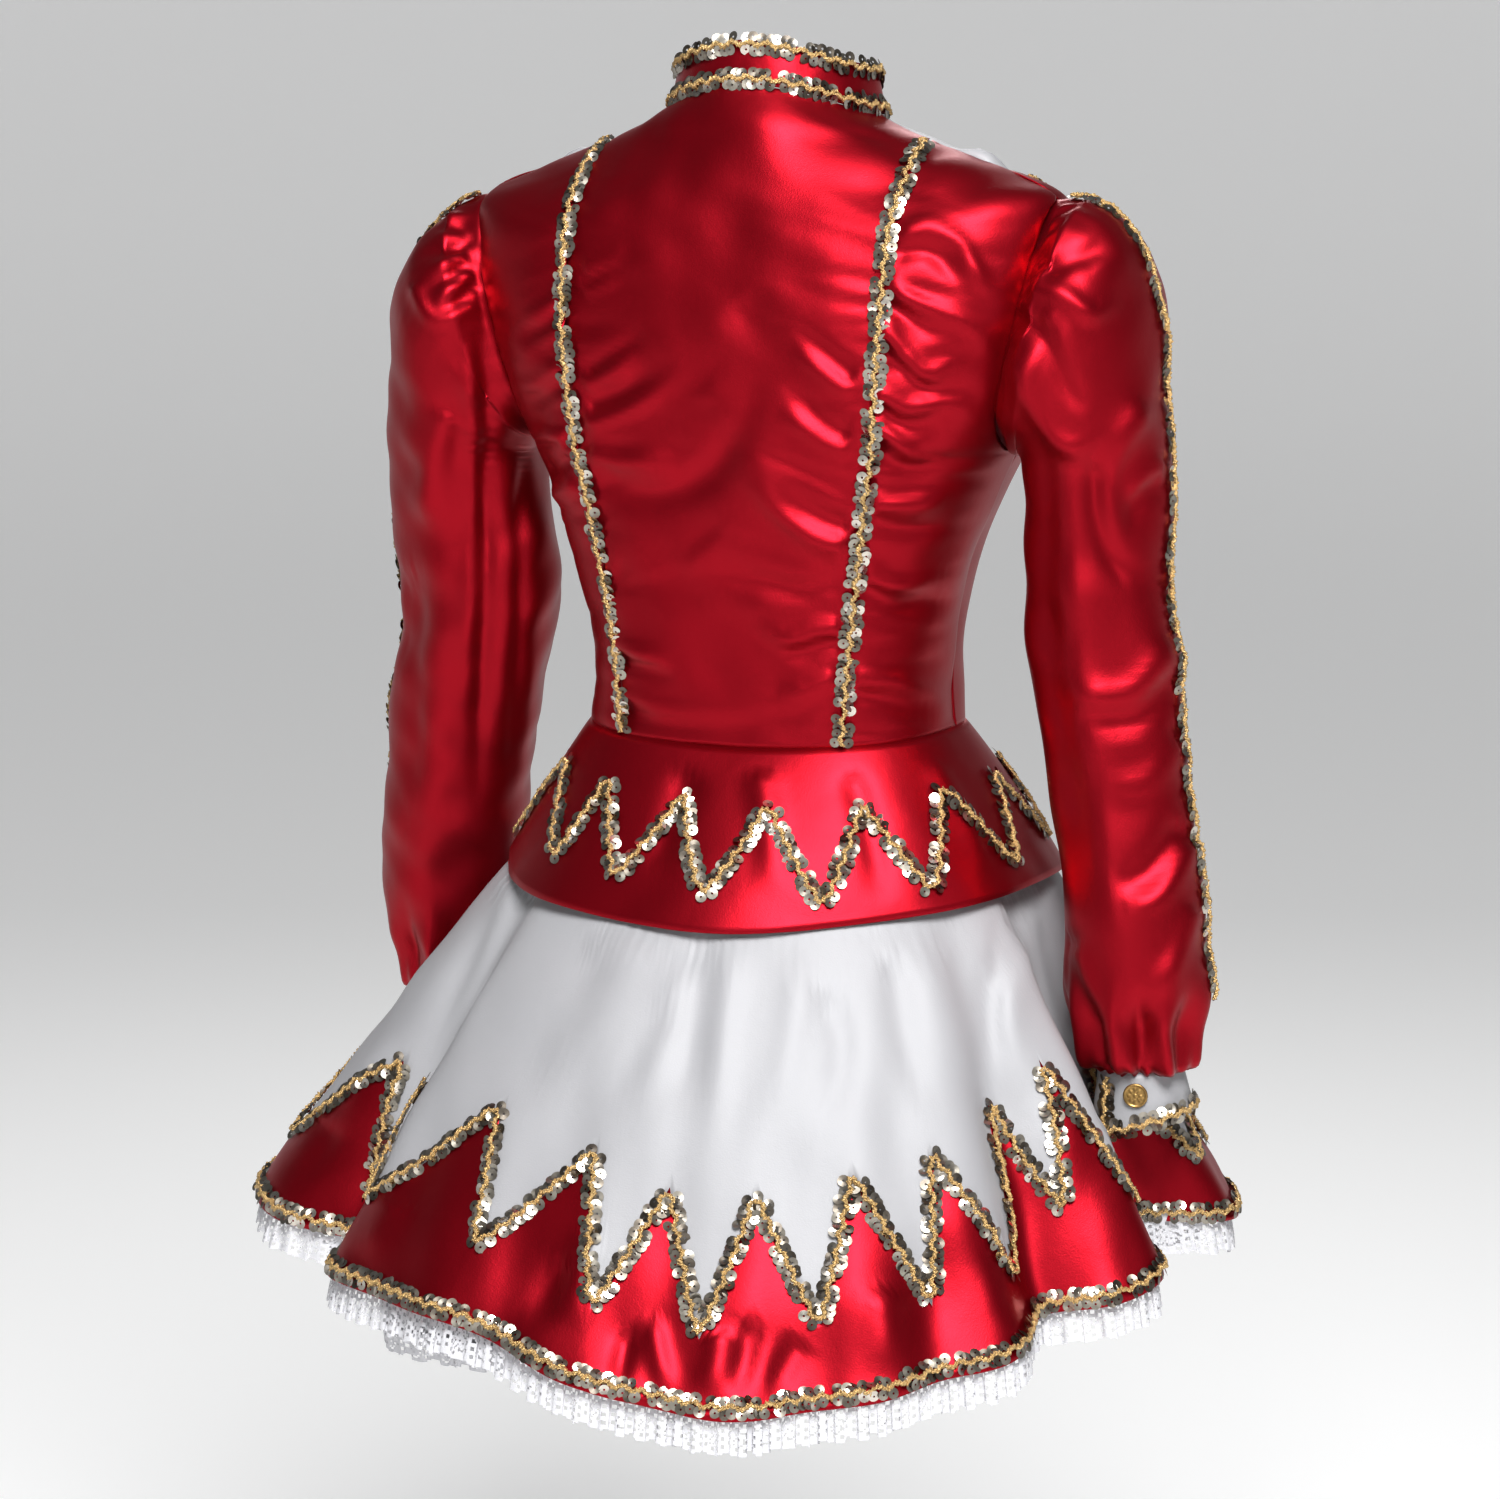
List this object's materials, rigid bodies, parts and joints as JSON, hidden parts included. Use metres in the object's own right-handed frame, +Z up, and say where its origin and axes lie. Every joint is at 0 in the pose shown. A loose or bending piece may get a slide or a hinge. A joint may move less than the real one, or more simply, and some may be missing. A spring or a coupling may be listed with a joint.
{
  "type": "majorette dress",
  "caption": "Fitted satin jacket bodice with peplum, long gathered sleeves and a flared two-colour skirt with zigzag border, lace ruffle and gold sequin braid, standing open as if worn",
  "frame": {"origin": "Middle of the neck between the two shoulders, where the wearer's neck and shoulders carry the dress", "axes": "+Z up along the body, front of the dress towards -Y, the wearer's left towards +X"},
  "size_m": [0.6009, 0.6069, 0.7877],
  "materials": {
    "red_satin": "satin weave, glossy",
    "white_satin": "satin weave, glossy",
    "lace": "matt machine lace",
    "gold_braid": "metallic gimp with silver sequins",
    "button_metal": "pressed and antiqued"
  },
  "bodies": {
    "root": {"back_centre": "red_satin", "back_side_left": "red_satin", "back_side_right": "red_satin", "front_side_left": "red_satin", "front_side_right": "red_satin", "plastron_left": "white_satin", "plastron_right": "white_satin", "collar": "red_satin", "sleeve_left": "red_satin", "sleeve_right": "red_satin", "cuff_left": "white_satin", "cuff_right": "white_satin", "peplum": "red_satin", "skirt_white": "white_satin", "skirt_border": "red_satin", "underskirt": "white_satin", "lace_ruffle": "lace", "braid_collar_top": "gold_braid", "braid_collar_seam": "gold_braid", "braid_princess_left": "gold_braid", "braid_princess_right": "gold_braid", "braid_plastron_left": "gold_braid", "braid_plastron_right": "gold_braid", "braid_sleeve_left": "gold_braid", "braid_sleeve_right": "gold_braid", "braid_cuff_left": "gold_braid", "braid_cuff_right": "gold_braid", "braid_peplum": "gold_braid", "braid_skirt": "gold_braid", "braid_hem": "gold_braid", "cuff_button_left": "button_metal", "cuff_button_right": "button_metal"}
  },
  "joints": []
}
